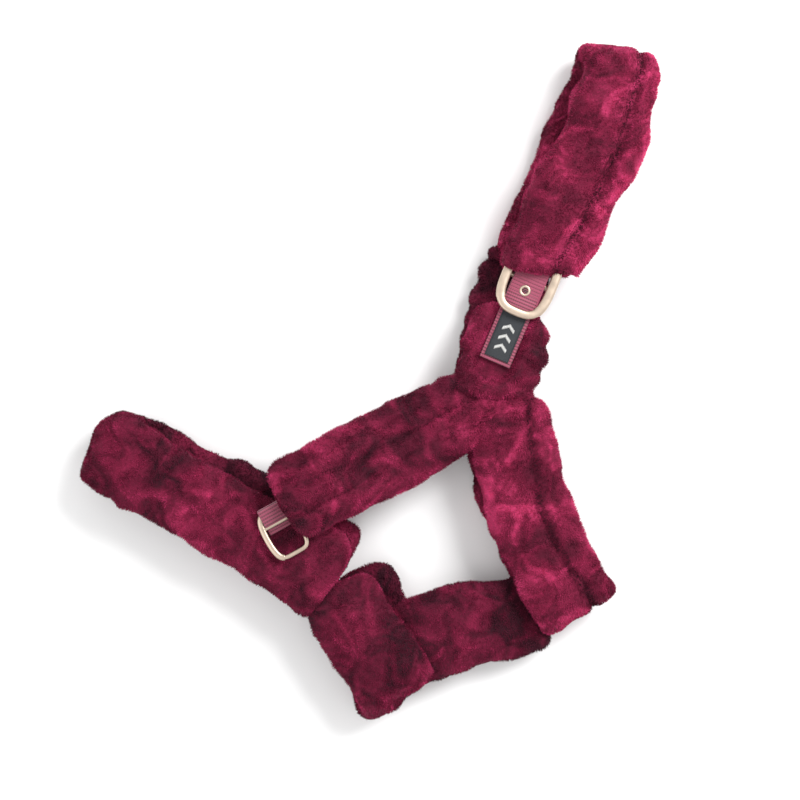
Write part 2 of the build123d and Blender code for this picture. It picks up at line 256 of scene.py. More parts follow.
def pile_tufts(points, painted_crease_shade, density, length, seed, comb=(0, 0), tone=0.0):
    """Plush pile as geometry: a thin closed three-sided spike on random places of the surface, leaning by
    a smooth combing field. The places are spread by face area; each spike is a base triangle round its
    place and a tip at its length along the leaning normal. Returns points, faces and the values of the
    plush's light and dark patches, with painted shade in grooves, between gathers, on the under layer
    and at the roots, and painted light at the tips and on the lit sleeves."""
    rng = np.random.default_rng(seed + 40)
    p00 = points[:-1]
    p01 = np.roll(points, -1, axis=1)[:-1]
    p10 = points[1:]
    p11 = np.roll(points, -1, axis=1)[1:]
    du, dv = (p10 + p11 - p00 - p01) / 2, (p01 + p11 - p00 - p10) / 2
    normal = np.cross(du, dv)
    area = np.linalg.norm(normal, axis=2)
    inside = points.mean(axis=1)[:-1][:, None, :]
    mid = (p00 + p01 + p10 + p11) / 4
    flip = np.sign(np.einsum("ijk,ijk->ij", normal, mid - inside).sum())
    normal = flip * normal / np.maximum(area, 1e-9)[:, :, None]
    weight = area.reshape(-1) / area.sum()
    count = int(area.sum() * density)
    cell = rng.choice(len(weight), size=count, p=weight)
    a, b = rng.random(count)[:, None], rng.random(count)[:, None]
    corner = [q.reshape(-1, 3)[cell] for q in (p00, p01, p10, p11)]
    base = (corner[0] * (1 - a) + corner[2] * a) * (1 - b) + (corner[1] * (1 - a) + corner[3] * a) * b
    up = normal.reshape(-1, 3)[cell]
    keep = ~((base[:, 2] < 5) & (up[:, 2] < -0.5))
    base, up = base[keep], up[keep]
    count = len(base)
    flow = np.stack([smooth_noise(base, 26, seed + 11), smooth_noise(base, 26, seed + 12),
                     smooth_noise(base, 30, seed + 13)], axis=1)
    clump = np.stack([smooth_noise(base, 5.5, seed + 14), smooth_noise(base, 5.5, seed + 15),
                      smooth_noise(base, 5.5, seed + 16)], axis=1)
    combing = np.array([comb[0], comb[1], -0.1])
    lean = 0.55 * flow + 0.16 * clump + 0.3 * rng.normal(size=(count, 3)) + combing
    lean -= up * np.einsum("ij,ij->i", lean, up)[:, None]
    heading = up + lean
    heading /= np.linalg.norm(heading, axis=1)[:, None]
    reach = length * rng.uniform(0.65, 1.1, count) * (1 + 0.15 * smooth_noise(base, 14, seed + 17))
    tip = base + heading * reach[:, None]
    tip[:, 2] = np.maximum(tip[:, 2], 0.3)
    spare = np.cross(up, rng.normal(size=(count, 3)))
    spare /= np.linalg.norm(spare, axis=1)[:, None]
    third = np.cross(up, spare)
    wide = rng.uniform(0.3, 0.52, count)[:, None]
    foot = base - up * 0.6
    ring = [foot + wide * (spare * math.cos(q) + third * math.sin(q)) for q in (0, 2.0944, 4.18879)]
    vertices = np.stack(ring + [tip], axis=1).reshape(-1, 3)
    first = np.arange(count)[:, None] * 4
    faces = np.concatenate([first + np.array([[0, 1, 3]]), first + np.array([[1, 2, 3]]),
                            first + np.array([[2, 0, 3]]), first + np.array([[2, 1, 0]])])
    # Painted shade: tufts in the seam's groove and between gathers are made darker by how deep they lie.
    tuft_crease_shade = painted_crease_shade[:-1].reshape(-1)[cell][keep]
    # Painted shade: tufts rooted below 27 mm, on the far layers and the low sleeves, are made darker.
    under_layer_painted_shade = base[:, 2] < 27
    # Painted light and shade: the sleeve's tone lifts or lowers every tuft.
    nap_and_painted_shading = nap_field(base, seed) - 0.62 * tuft_crease_shade + tone + 0.07 * rng.normal(size=count) - 0.22 * under_layer_painted_shade
    # Painted shade and highlight: each spike's three root corners are 0.16 darker and its tip 0.09 lighter.
    shade = np.stack([nap_and_painted_shading - 0.16, nap_and_painted_shading - 0.16, nap_and_painted_shading - 0.16, nap_and_painted_shading + 0.09], axis=1)
    return vertices, faces, np.clip(shade, 0, 1).reshape(-1)


# ---------------------------------------------------------------- materials

def new_material(name):
    """Empty node material with a Principled shader; returns its nodes, links and the shader."""
    material = bpy.data.materials.new(name)
    material.use_nodes = True
    tree = material.node_tree
    shader = tree.nodes["Principled BSDF"]
    return material, tree.nodes, tree.links, shader


def linear(colour):
    """sRGB 0-255 to linear 0-1."""
    part = np.array(colour) / 255
    low = part / 12.92
    high = ((part + 0.055) / 1.055) ** 2.4
    return tuple(np.where(part <= 0.04045, low, high)) + (1.0,)


def plush_material(name, dark, middle, light):
    """Crushed plush: a point attribute of random pile patches, painted shade and painted light picks between
    three shades; fine noise mottles it and gives a bump.
    """
    material, nodes, links, shader = new_material(name)
    nap_and_painted_shading = nodes.new("ShaderNodeAttribute")
    nap_and_painted_shading.attribute_name = "nap_and_painted_shading"
    place = nodes.new("ShaderNodeTexCoord")
    speck = nodes.new("ShaderNodeTexNoise")
    speck.inputs["Scale"].default_value = 420
    speck.inputs["Detail"].default_value = 3
    links.new(place.outputs["Object"], speck.inputs["Vector"])
    blend = nodes.new("ShaderNodeMath")
    blend.operation = "MULTIPLY_ADD"
    links.new(speck.outputs["Fac"], blend.inputs[0])
    blend.inputs[1].default_value = 0.24
    offset = nodes.new("ShaderNodeMath")
    offset.operation = "ADD"
    links.new(nap_and_painted_shading.outputs["Fac"], offset.inputs[0])
    offset.inputs[1].default_value = -0.12
    links.new(offset.outputs[0], blend.inputs[2])
    ramp = nodes.new("ShaderNodeValToRGB")
    ramp.color_ramp.elements[0].color = linear(dark)
    ramp.color_ramp.elements[1].color = linear(light)
    middle_stop = ramp.color_ramp.elements.new(0.5)
    middle_stop.color = linear(middle)
    links.new(blend.outputs[0], ramp.inputs["Fac"])
    links.new(ramp.outputs["Color"], shader.inputs["Base Color"])
    bump = nodes.new("ShaderNodeBump")
    bump.inputs["Strength"].default_value = 0.35
    bump.inputs["Distance"].default_value = 0.0008
    links.new(speck.outputs["Fac"], bump.inputs["Height"])
    links.new(bump.outputs["Normal"], shader.inputs["Normal"])
    shader.inputs["Roughness"].default_value = 0.8
    shader.inputs["Specular IOR Level"].default_value = 0.15
    shader.inputs["Sheen Weight"].default_value = 0.28
    shader.inputs["Sheen Roughness"].default_value = 0.45
    shader.inputs["Sheen Tint"].default_value = linear((235, 120, 160))
    return material


# ---------------------------------------------------------------- the sleeves' routes

# Each row is a station along the sleeve's centre line: x, y, height, width and thickness in mm.
# tone shifts a whole sleeve's pile lighter or darker as painted light and shade: the crown and throat lighter
# where the light falls on them, the noseband and chin darker as painted shade.
SLEEVES = {
    "crown": dict(
        stations=[(128.5, 79, 46.5, 56, 25), (131, 90, 46.5, 64, 26), (147, 122, 46.5, 68, 27),
                  (161.5, 151, 46.5, 67, 27),
                  (177, 181, 46.5, 66, 27), (188, 214, 46, 68, 26), (191.5, 229, 45.5, 62, 25)],
        far_shift=(-3, -4, -10, -9), far_thick=25, seam=((0.5, 5.6, 0.12),), seed=11,
        comb=(0.1, 0.1), tone=0.2),
    "noseband": dict(
        stations=[(-26, -157, 40, 60, 21), (-31, -154, 40, 70, 22), (-62, -137, 40, 71, 22),
                  (-92, -120, 40, 69, 22), (-139, -93.5, 40, 63, 22),
                  (-180, -69, 40, 66, 22), (-194, -61, 40, 69, 22)],
        far_shift=(12, 12, 12, 3), far_thick=22, seam=None, seed=23, comb=(-0.1, -0.1), tone=-0.06),
    "chin": dict(
        stations=[(-28, -160, 40, 58, 21), (-22, -171, 40, 68, 22), (-14, -188, 40, 68, 22),
                  (3, -212, 40, 70, 22), (14.5, -231, 40, 68, 22)],
        far_shift=(-14, -13, -8, -1), far_thick=22, seam=None, seed=37, comb=(0, -0.2), tone=-0.06),
    "throat": dict(
        stations=[(109, -15, 42, 48, 21), (110, -30, 41, 60, 22), (112, -56, 40, 68, 22),
                  (118, -86, 40, 67, 22), (126, -114, 40, 67, 22),
                  (142.5, -149, 40, 71, 22), (152.5, -166, 40, 68, 22)],
        far_shift=(8, 6, 2, 0), far_thick=22, seam=((-0.3, 4.8, 0.11),), seed=41,
        comb=(0.1, -0.1), tone=0.14),
}
# Here tone is painted shade: the jaw and the near cheek are made darker.
STRAIGHT = {
    "jaw": dict(
        stations=[(18, -206.5, 24, 64, 20), (40, -202, 26, 70, 22), (80, -193, 24, 67, 22),
                  (108, -186.5, 23, 66, 20), (134, -178, 20, 60, 12)],
        seed=53, comb=(0, -0.45), seam=None, ends=(8, 8), tone=-0.12),
    "cheek_near": dict(
        stations=[(-68, -98, 62, 56, 21), (-61, -94, 62, 68, 22), (-38, -82, 59, 71, 22),
                  (-12, -70, 50, 70, 22), (22, -53, 42, 67, 22), (50, -38, 40, 66, 22),
                  (80, -22, 40, 62, 21),
                  (97, -13, 38, 54, 20)],
        seed=61, comb=(0.1, -0.1), seam=((-0.12, 2.6, 0.07), (0.38, 2.0, 0.07), (-0.6, 1.6, 0.08)),
        tone=-0.02, ends=(9, 14)),
    "cheek_far": dict(
        stations=[(-24, -74, 11, 61, 21), (20, -52, 11, 61, 21), (60, -31, 11, 58, 21)],
        seed=67, comb=(0, 0), seam=None, ends=(9, 9)),
}


def stations_of(entry):
    """Station rows as an array."""
    return np.array(entry["stations"], float)


def build_sleeve(entry, fold, settings):
    """Points of one sleeve's plush body and how deep each lies in a groove."""
    return plush_tube(stations_of(entry), far_shift=entry.get("far_shift", (0, 0)), fold=fold,
                           far_thick=entry.get("far_thick", 22), floor=entry.get("floor", 0.6),
                           seam=entry.get("seam"), gathers=entry.get("gathers", 0), seed=entry["seed"],
                           ends=entry.get("ends", (13, 13)), puff=settings.puff * 1000)


def ribbed_webbing_material(name, dark, light):
    """Woven webbing: cross ribs as a wave along the strap in its own UV map, crossed by fine warp lines."""
    material, nodes, links, shader = new_material(name)
    uv = nodes.new("ShaderNodeUVMap")
    uv.uv_map = "strap"
    rib = nodes.new("ShaderNodeTexWave")
    rib.bands_direction = "X"
    rib.inputs["Scale"].default_value = 0.5 * 1000 / 1.25 / 3.1416
    rib.inputs["Distortion"].default_value = 0.25
    warp = nodes.new("ShaderNodeTexWave")
    warp.bands_direction = "Y"
    warp.inputs["Scale"].default_value = 0.5 * 1000 / 0.9 / 3.1416
    speck = nodes.new("ShaderNodeTexNoise")
    speck.inputs["Scale"].default_value = 900
    for node in (rib, warp, speck):
        links.new(uv.outputs["UV"], node.inputs["Vector"])
    mixed = nodes.new("ShaderNodeMath")
    mixed.operation = "MULTIPLY_ADD"
    links.new(warp.outputs["Fac"], mixed.inputs[0])
    mixed.inputs[1].default_value = 0.3
    links.new(rib.outputs["Fac"], mixed.inputs[2])
    toned = nodes.new("ShaderNodeMath")
    toned.operation = "MULTIPLY_ADD"
    links.new(speck.outputs["Fac"], toned.inputs[0])
    toned.inputs[1].default_value = 0.5
    links.new(mixed.outputs[0], toned.inputs[2])
    ramp = nodes.new("ShaderNodeValToRGB")
    ramp.color_ramp.elements[0].color = linear(dark)
    ramp.color_ramp.elements[0].position = 0.25
    ramp.color_ramp.elements[1].color = linear(light)
    ramp.color_ramp.elements[1].position = 1.0
    links.new(toned.outputs[0], ramp.inputs["Fac"])
    links.new(ramp.outputs["Color"], shader.inputs["Base Color"])
    bump = nodes.new("ShaderNodeBump")
    bump.inputs["Strength"].default_value = 0.8
    bump.inputs["Distance"].default_value = 0.0004
    links.new(mixed.outputs[0], bump.inputs["Height"])
    links.new(bump.outputs["Normal"], shader.inputs["Normal"])
    shader.inputs["Roughness"].default_value = 0.62
    shader.inputs["Sheen Weight"].default_value = 0.3
    return material


def gilt_material(name, colour):
    """Satin pale gold plating with faint cloudy wear in its colour, roughness and bump."""
    material, nodes, links, shader = new_material(name)
    place = nodes.new("ShaderNodeTexCoord")
    cloud = nodes.new("ShaderNodeTexNoise")
    cloud.inputs["Scale"].default_value = 160
    cloud.inputs["Detail"].default_value = 5
    links.new(place.outputs["Object"], cloud.inputs["Vector"])
    span = nodes.new("ShaderNodeMapRange")
    span.inputs["To Min"].default_value = 0.26
    span.inputs["To Max"].default_value = 0.5
    links.new(cloud.outputs["Fac"], span.inputs["Value"])
    links.new(span.outputs["Result"], shader.inputs["Roughness"])
    tone = nodes.new("ShaderNodeValToRGB")
    tone.color_ramp.elements[0].color = linear([c * 0.86 for c in colour])
    tone.color_ramp.elements[1].color = linear(colour)
    links.new(cloud.outputs["Fac"], tone.inputs["Fac"])
    links.new(tone.outputs["Color"], shader.inputs["Base Color"])
    bump = nodes.new("ShaderNodeBump")
    bump.inputs["Strength"].default_value = 0.08
    bump.inputs["Distance"].default_value = 0.0003
    links.new(cloud.outputs["Fac"], bump.inputs["Height"])
    links.new(bump.outputs["Normal"], shader.inputs["Normal"])
    shader.inputs["Metallic"].default_value = 0.85
    return material


def label_material(name):
    """Charcoal woven label: fine crossed threads on its own UV map."""
    material, nodes, links, shader = new_material(name)
    uv = nodes.new("ShaderNodeUVMap")
    uv.uv_map = "strap"
    weave = nodes.new("ShaderNodeTexBrick")
    weave.inputs["Scale"].default_value = 900
    weave.inputs["Color1"].default_value = linear((36, 39, 43))
    weave.inputs["Color2"].default_value = linear((48, 52, 57))
    weave.inputs["Mortar"].default_value = linear((22, 24, 27))
    links.new(uv.outputs["UV"], weave.inputs["Vector"])
    links.new(weave.outputs["Color"], shader.inputs["Base Color"])
    shader.inputs["Roughness"].default_value = 0.75
    return material


def thread_material(name, colour):
    """Sewing thread with a slight lengthwise noise in its tone."""
    material, nodes, links, shader = new_material(name)
    place = nodes.new("ShaderNodeTexCoord")
    noise = nodes.new("ShaderNodeTexNoise")
    noise.inputs["Scale"].default_value = 1500
    links.new(place.outputs["Object"], noise.inputs["Vector"])
    ramp = nodes.new("ShaderNodeValToRGB")
    ramp.color_ramp.elements[0].color = linear([c * 0.7 for c in colour])
    ramp.color_ramp.elements[1].color = linear(colour)
    links.new(noise.outputs["Fac"], ramp.inputs["Fac"])
    links.new(ramp.outputs["Color"], shader.inputs["Base Color"])
    shader.inputs["Roughness"].default_value = 0.7
    return material


# ---------------------------------------------------------------- strap, buckle and ring surfaces

def node_centre(name):
    """Middle of a CAD node's box in mm."""
    low, high = (np.array(corner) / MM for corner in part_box(name))
    return (low + high) / 2


def ribbon(line, across, width, thick, rib=0.0, rib_pitch=1.3):
    """Strap: a thin rounded section carried along a 3-D line. The two faces ripple by a sine of the travel
    for the woven ribs. Returns the points, the travel along the line and the section, all in mm."""
    line = np.asarray(line, float)
    forward = np.gradient(line, axis=0)
    forward /= np.linalg.norm(forward, axis=1)[:, None]
    up = np.cross(across, forward)
    up /= np.linalg.norm(up, axis=1)[:, None]
    travel = np.concatenate([[0], np.cumsum(np.linalg.norm(np.diff(line, axis=0), axis=1))])
    half, low = width / 2, thick / 2
    soft = min(0.5, low * 0.8)
    section = np.array([(-half + soft, low), (0, low), (half - soft, low), (half - 0.15, low * 0.7),
                        (half, 0), (half - 0.15, -low * 0.7),
                        (half - soft, -low), (0, -low), (-half + soft, -low), (-half + 0.15, -low * 0.7),
                        (-half, 0), (-half + 0.15, low * 0.7)])
    ripple = rib * np.sin(2 * math.pi * travel / rib_pitch)
    on_face = np.sign(section[:, 1]) * (np.abs(section[:, 1]) > low * 0.9)
    y = section[:, 1][None, :] + ripple[:, None] * on_face[None, :]
    sideways = across[None, None, :] * section[:, 0][None, :, None]
    points = line[:, None, :] + sideways + up[:, None, :] * y[:, :, None]
    return points, travel, section


def strap_piece(name, line, across, width, thick, material, rib=0.12, rib_pitch=1.3):
    """Ribbon mesh with its strap UV map, closed at both ends."""
    points, travel, section = ribbon(line, across, width, thick, rib, rib_pitch)
    vertices, groups = grid_mesh(points)
    piece = mesh_object(name, vertices, groups)
    cols = len(section)
    along = np.concatenate([np.repeat(travel, cols), [travel[0], travel[-1]]]) * MM
    sideways = np.concatenate([np.tile(section[:, 0] + 0.3 * section[:, 1], len(travel)), [0, 0]]) * MM
    layer = piece.data.uv_layers.new(name="strap")
    index = np.empty(len(piece.data.loops), np.int32)
    piece.data.loops.foreach_get("vertex_index", index)
    pairs = np.stack([along[index], sideways[index]], axis=1)
    layer.data.foreach_set("uv", pairs.astype(np.float32).reshape(-1))
    piece.data.materials.append(material)
    return piece


def buckle_point(along, across, height):
    """Point in mm from distances along and across the buckle's direction, from its centre bar."""
    centre = node_centre("buckle_frame")
    level = np.array([centre[0], centre[1], 0]) + along * BUCKLE_ALONG + across * BUCKLE_ACROSS
    return level + np.array([0, 0, height])


def loop_frame(outline, section_wide, section_tall, segments=14):
    """Metal bar bent to a closed outline: an ellipse section, wide by tall, carried round the outline, with
    its width lying square to the outline in plan. Rows of outline are x, y, height and a width factor."""
    following = np.roll(outline[:, :2], -1, axis=0) - np.roll(outline[:, :2], 1, axis=0)
    following /= np.linalg.norm(following, axis=1)[:, None]
    sideways = np.column_stack([following[:, 1], -following[:, 0], np.zeros(len(outline))])
    q = np.linspace(0, 2 * math.pi, segments, endpoint=False)
    cx = np.sign(np.cos(q)) * np.abs(np.cos(q)) ** 0.75 * section_wide / 2
    cz = np.sign(np.sin(q)) * np.abs(np.sin(q)) ** 0.75 * section_tall / 2
    points = (outline[:, None, :3] + sideways[:, None, :] * (cx[None, :] * outline[:, 3:4])[:, :, None])
    points[..., 2] += cz[None, :]
    return points


def closed_ring_mesh(points):
    """Quads of a grid that closes both ways, turned outwards by enclosed volume."""
    rows, cols = points.shape[:2]
    i = np.arange(rows)[:, None]
    j = np.arange(cols)[None, :]
    a = i * cols + j
    b = i * cols + (j + 1) % cols
    c = ((i + 1) % rows) * cols + (j + 1) % cols
    d = ((i + 1) % rows) * cols + j
    quads = np.stack(np.broadcast_arrays(a, b, c, d), axis=-1).reshape(-1, 4)
    vertices = points.reshape(-1, 3)
    p, q, r, s = (vertices[quads[:, k]] for k in range(4))
    volume = (np.einsum("ij,ij->i", p, np.cross(q, r)) + np.einsum("ij,ij->i", p, np.cross(r, s))).sum()
    return vertices, [quads if volume > 0 else quads[:, ::-1]]


def rounded_outline(half_long, half_wide, power, count=160):
    """Closed rounded outline: a superellipse with the given power, evenly stepped by angle."""
    q = np.linspace(0, 2 * math.pi, count, endpoint=False)
    x = np.sign(np.cos(q)) * np.abs(np.cos(q)) ** (2 / power) * half_long
    y = np.sign(np.sin(q)) * np.abs(np.sin(q)) ** (2 / power) * half_wide
    return x, y


def stitches(name, starts, ends, radius, material, lift):
    """Row of thread stitches: each a short closed spindle from start to end, humped upwards in the middle."""
    starts, ends = np.asarray(starts, float), np.asarray(ends, float)
    count, rings, sides = len(starts), 5, 5
    t = np.linspace(0, 1, rings)
    q = np.linspace(0, 2 * math.pi, sides, endpoint=False)
    along = ends - starts
    along /= np.linalg.norm(along, axis=1)[:, None]
    side = np.cross(along, [0, 0, 1.0])
    up = np.cross(side, along)
    spine = starts[:, None, :] + (ends - starts)[:, None, :] * t[None, :, None]
    spine[..., 2] += lift * np.sin(math.pi * t)[None, :]
    size = radius * (0.35 + 0.65 * np.sin(math.pi * t))
    flat_part = side[:, None, None, :] * np.cos(q)[None, None, :, None]
    high_part = up[:, None, None, :] * np.sin(q)[None, None, :, None]
    ring = flat_part + high_part
    points = spine[:, :, None, :] + ring * size[None, :, None, None]
    vertices = points.reshape(-1, 3)
    base = np.arange(count)[:, None, None] * rings * sides
    i = np.arange(rings - 1)[None, :, None] * sides
    j = np.arange(sides)[None, None, :]
    k = (j + 1) % sides
    quads = np.stack(np.broadcast_arrays(base + i + j, base + i + sides + j, base + i + sides + k,
                                         base + i + k), axis=-1).reshape(-1, 4)
    low = (np.arange(count)[:, None] * rings * sides + np.arange(sides)[None, :])
    high = (np.arange(count)[:, None] * rings * sides + (rings - 1) * sides + np.arange(sides)[None, ::-1])
    piece = mesh_object(name, vertices, [quads, low, high])
    piece.data.materials.append(material)
    return piece


def round_bar(line, radius, sides=14):
    """Round metal bar: a circle carried along a 3-D line with its frame kept by a fixed side direction."""
    line = np.asarray(line, float)
    forward = np.gradient(line, axis=0)
    forward /= np.linalg.norm(forward, axis=1)[:, None]
    helper = np.where(np.abs(forward[:, 2:3]) > 0.9, [[1.0, 0, 0]], [[0, 0, 1.0]])
    side = np.cross(forward, helper)
    side /= np.linalg.norm(side, axis=1)[:, None]
    up = np.cross(side, forward)
    q = np.linspace(0, 2 * math.pi, sides, endpoint=False)
    return (line[:, None, :] + side[:, None, :] * (np.cos(q) * radius)[None, :, None]
            + up[:, None, :] * (np.sin(q) * radius)[None, :, None])


def shared_material(name, maker, *details):
    """The named material, made once."""
    return bpy.data.materials.get(name) or maker(name, *details)


def fleece(settings):
    """The collar's one plush material, in the shades of the settings."""
    chosen = (settings.shade_dark, settings.shade_middle, settings.shade_light)
    shades = [[c * 255 for c in shade] for shade in chosen]
    return shared_material("burgundy_plush", plush_material, *shades)


def webbing_material():
    return shared_material("dusty_rose_webbing", ribbed_webbing_material, (84, 32, 46), (150, 66, 90))


def gilt():
    return shared_material("satin_pale_gilt", gilt_material, (216, 196, 176))


def press_down(points, a, b, half, level, soft=5.0):
    """Lowers a surface to a level where something lies in it: full inside half a width of the line a to b,
    seen from above, and fading out over the soft distance beyond."""
    a, b = np.asarray(a, float)[:2], np.asarray(b, float)[:2]
    flat = points.reshape(-1, 3)
    along = b - a
    t = np.clip(((flat[:, :2] - a) @ along) / (along @ along), 0, 1)
    away = np.linalg.norm(flat[:, :2] - a - t[:, None] * along, axis=1)
    fade = np.clip(1 - (away - half) / soft, 0, 1)
    fade = fade * fade * (3 - 2 * fade)
    flat[:, 2] -= fade * np.maximum(flat[:, 2] - level, 0)
    return flat.reshape(points.shape)


def hold_tips(vertices, a, b, half, level, above):
    """Keeps the pile's tips under what lies on it: tips over a height, within half a width of the line
    a to b seen from above, are lowered to the level."""
    a, b = np.asarray(a, float)[:2], np.asarray(b, float)[:2]
    tips = vertices[3::4]
    along = b - a
    t = np.clip(((tips[:, :2] - a) @ along) / (along @ along), 0, 1)
    away = np.linalg.norm(tips[:, :2] - a - t[:, None] * along, axis=1)
    held = (away < half) & (tips[:, 2] > level) & (tips[:, 2] < above)
    tips[held, 2] = level - 0.3
    vertices[3::4] = tips
    return vertices


class HC_settings(bpy.types.PropertyGroup):
    """Sizes and colours of the head collar that a user would change."""
    pile_length: bpy.props.FloatProperty(name="Pile length", description="Length of the plush pile",
                                         default=0.0021, unit="LENGTH")
    pile_density: bpy.props.FloatProperty(name="Pile density",
                                          description="Tufts of pile on each square millimetre",
                                          default=1.45)
    puff: bpy.props.FloatProperty(name="Puff", description="How far the padding swells and dips",
                                  default=0.0015, unit="LENGTH")
    # The three shades span the pile's colour ramp. The dark end also serves the painted shade in grooves,
    # between gathers, on the under layers and at the pile's roots, and the light end the painted light on the
    # crown, the throat and the pile's tips.
    shade_dark: bpy.props.FloatVectorProperty(name="Dark shade",
                                              description="Shade of the pile in its dips",
                                              default=(0.17, 0.035, 0.085), subtype="COLOR")
    shade_middle: bpy.props.FloatVectorProperty(name="Middle shade",
                                                description="Shade of most of the pile",
                                                default=(0.45, 0.09, 0.21), subtype="COLOR")
    shade_light: bpy.props.FloatVectorProperty(name="Light shade",
                                               description="Shade of the brushed-up pile",
                                               default=(0.82, 0.25, 0.45), subtype="COLOR")


class PieceOperator:
    """What the operators share: their register and undo options and the sidebar settings."""
    bl_options = {"REGISTER", "UNDO"}

    def settings(self, context):
        return context.scene.head_collar


def make_plush(name, entry, body, nodes, settings, fold, presses=(), holds=()):
    """One sleeve: its padded body pressed where things lie on it, and its pile held down under them."""
    points, painted_crease_shade = build_sleeve(entry, fold, settings)
    for press in presses:
        points = press_down(points, *press)
    material = fleece(settings)
    vertices, groups = grid_mesh(points)
    core = mesh_object(name, vertices, groups)
    # Painted shade: the core under the pile is made 0.2 darker, and the sleeve's tone adds painted light and
    # shade.
    set_tint(core.data, np.clip(nap_field(vertices, entry["seed"]) + entry.get("tone", 0.0) - 0.2, 0, 1))
    core.data.materials.append(material)
    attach(core, body)
    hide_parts(*nodes)
    density = settings.pile_density * 1
    tufts, faces, shade = pile_tufts(points, painted_crease_shade, density, settings.pile_length * 1000, entry["seed"],
                                     entry.get("comb", (0, 0)),
                                     entry.get("tone", 0.0))
    for hold in holds:
        tufts = hold_tips(tufts, *hold)
    pile = mesh_object(name + "_pile", tufts, [faces], smooth=False)
    set_tint(pile.data, shade)
    pile.data.materials.append(material)
    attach(pile, body)
    return core


def label_line():
    """Ends of the labelled strap's upper run in mm, from the buckle's bar to the label's end."""
    return buckle_point(-2, 0, 44), buckle_point(67, 0, 44)


def side_ring_axis():
    """Ends of the near side ring's middle line in mm."""
    centre = node_centre("side_ring_near")
    heading = np.array([math.cos(SIDE_RING_ANGLE), math.sin(SIDE_RING_ANGLE), 0])
    long_way = heading * SIDE_RING_HALF_LENGTH
    return centre - long_way, centre + long_way


class HC_OT_crown(PieceOperator, bpy.types.Operator):
    """Headpiece sleeve, folded over at the poll, with its stitched closing groove"""
    bl_idname = "head_collar.crown"
    bl_label = "Crown Sleeve"

    def execute(self, context):
        make_plush("crown_plush", dict(SLEEVES["crown"], ends=(6, 10)), "cheek_piece", ["crown_sleeve"],
                   self.settings(context), True)
        return {"FINISHED"}


class HC_OT_noseband(PieceOperator, bpy.types.Operator):
    """Noseband and chin sleeves, each folded over at its far end"""
    bl_idname = "head_collar.noseband"
    bl_label = "Noseband Sleeves"

    def execute(self, context):
        settings = self.settings(context)
        a, b = side_ring_axis()
        ring_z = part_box("side_ring_near")[0][2] / MM
        make_plush("noseband_plush", SLEEVES["noseband"], "noseband", ["nose_sleeve"], settings, True,
                   presses=[(a, b, 13, ring_z - 1.6, 10)], holds=[(a, b, 19, ring_z - 0.2, ring_z + 20)])
        make_plush("chin_plush", SLEEVES["chin"], "noseband", ["chin_sleeve"], settings, True)
        return {"FINISHED"}


class HC_OT_throat(PieceOperator, bpy.types.Operator):
    """Throat sleeve with a stitched groove, folded over at its lower end"""
    bl_idname = "head_collar.throat"
    bl_label = "Throat Sleeve"

    def execute(self, context):
        make_plush("throat_plush", SLEEVES["throat"], "throat_strap", ["throat_sleeve"],
                   self.settings(context), True)
        return {"FINISHED"}


class HC_OT_jaw(PieceOperator, bpy.types.Operator):
    """Jaw strap sleeve, its pile combed down, thinned where it goes under the throat sleeve"""
    bl_idname = "head_collar.jaw"
    bl_label = "Jaw Sleeve"

    def execute(self, context):
        make_plush("jaw_plush", STRAIGHT["jaw"], "jaw_strap", ["jaw_sleeve"], self.settings(context), False)
        return {"FINISHED"}


class HC_OT_cheeks(PieceOperator, bpy.types.Operator):
    """Near and far cheek sleeves; the near one rises over the noseband"""
    bl_idname = "head_collar.cheeks"
    bl_label = "Cheek Sleeves"

    def execute(self, context):
        settings = self.settings(context)
        make_plush("cheek_near_plush", STRAIGHT["cheek_near"], "cheek_piece", ["cheek_sleeve_near"],
                   settings, False)
        make_plush("cheek_far_plush", STRAIGHT["cheek_far"], "cheek_piece", ["cheek_sleeve_far"], settings,
                   False)
        return {"FINISHED"}


class HC_OT_pads(PieceOperator, bpy.types.Operator):
    """Gathered pads over the near and far upper rings; the near one dips under the labelled strap"""
    bl_idname = "head_collar.pads"
    bl_label = "Gathered Pads"

    def execute(self, context):
        settings = self.settings(context)
        a, b = label_line()
        near = dict(stations=[(110.5, 55, 38, 46, 22), (108, 45, 38, 60, 24), (103, 24, 38, 68, 25),
                              (97, 2, 40, 69, 26), (92.5, -19, 42, 66, 24)],
                    seed=71, comb=(0, 0), gathers=17.0, ends=(9, 9))
        make_plush("pad_near_plush", near, "cheek_piece", ["pad_near"], settings, False,
                   presses=[(a, b, 12.6, 41.2, 7)], holds=[(a, b, 12.4, 42.0, 70)])
        # The far pad's tone of -0.1 is painted shade.
        far = dict(stations=[(118, 98, 14, 52, 22), (112, 80, 14, 60, 24), (106, 61, 14, 58, 24),
                             (102, 34, 13, 62, 23),
                             (97, 12, 12, 60, 22), (92, -8, 11, 54, 19)],
                   seed=79, comb=(0, 0), gathers=19.0, ends=(9, 9), tone=-0.1)
        make_plush("pad_far_plush", far, "cheek_piece", ["pad_far"], settings, False)
        return {"FINISHED"}


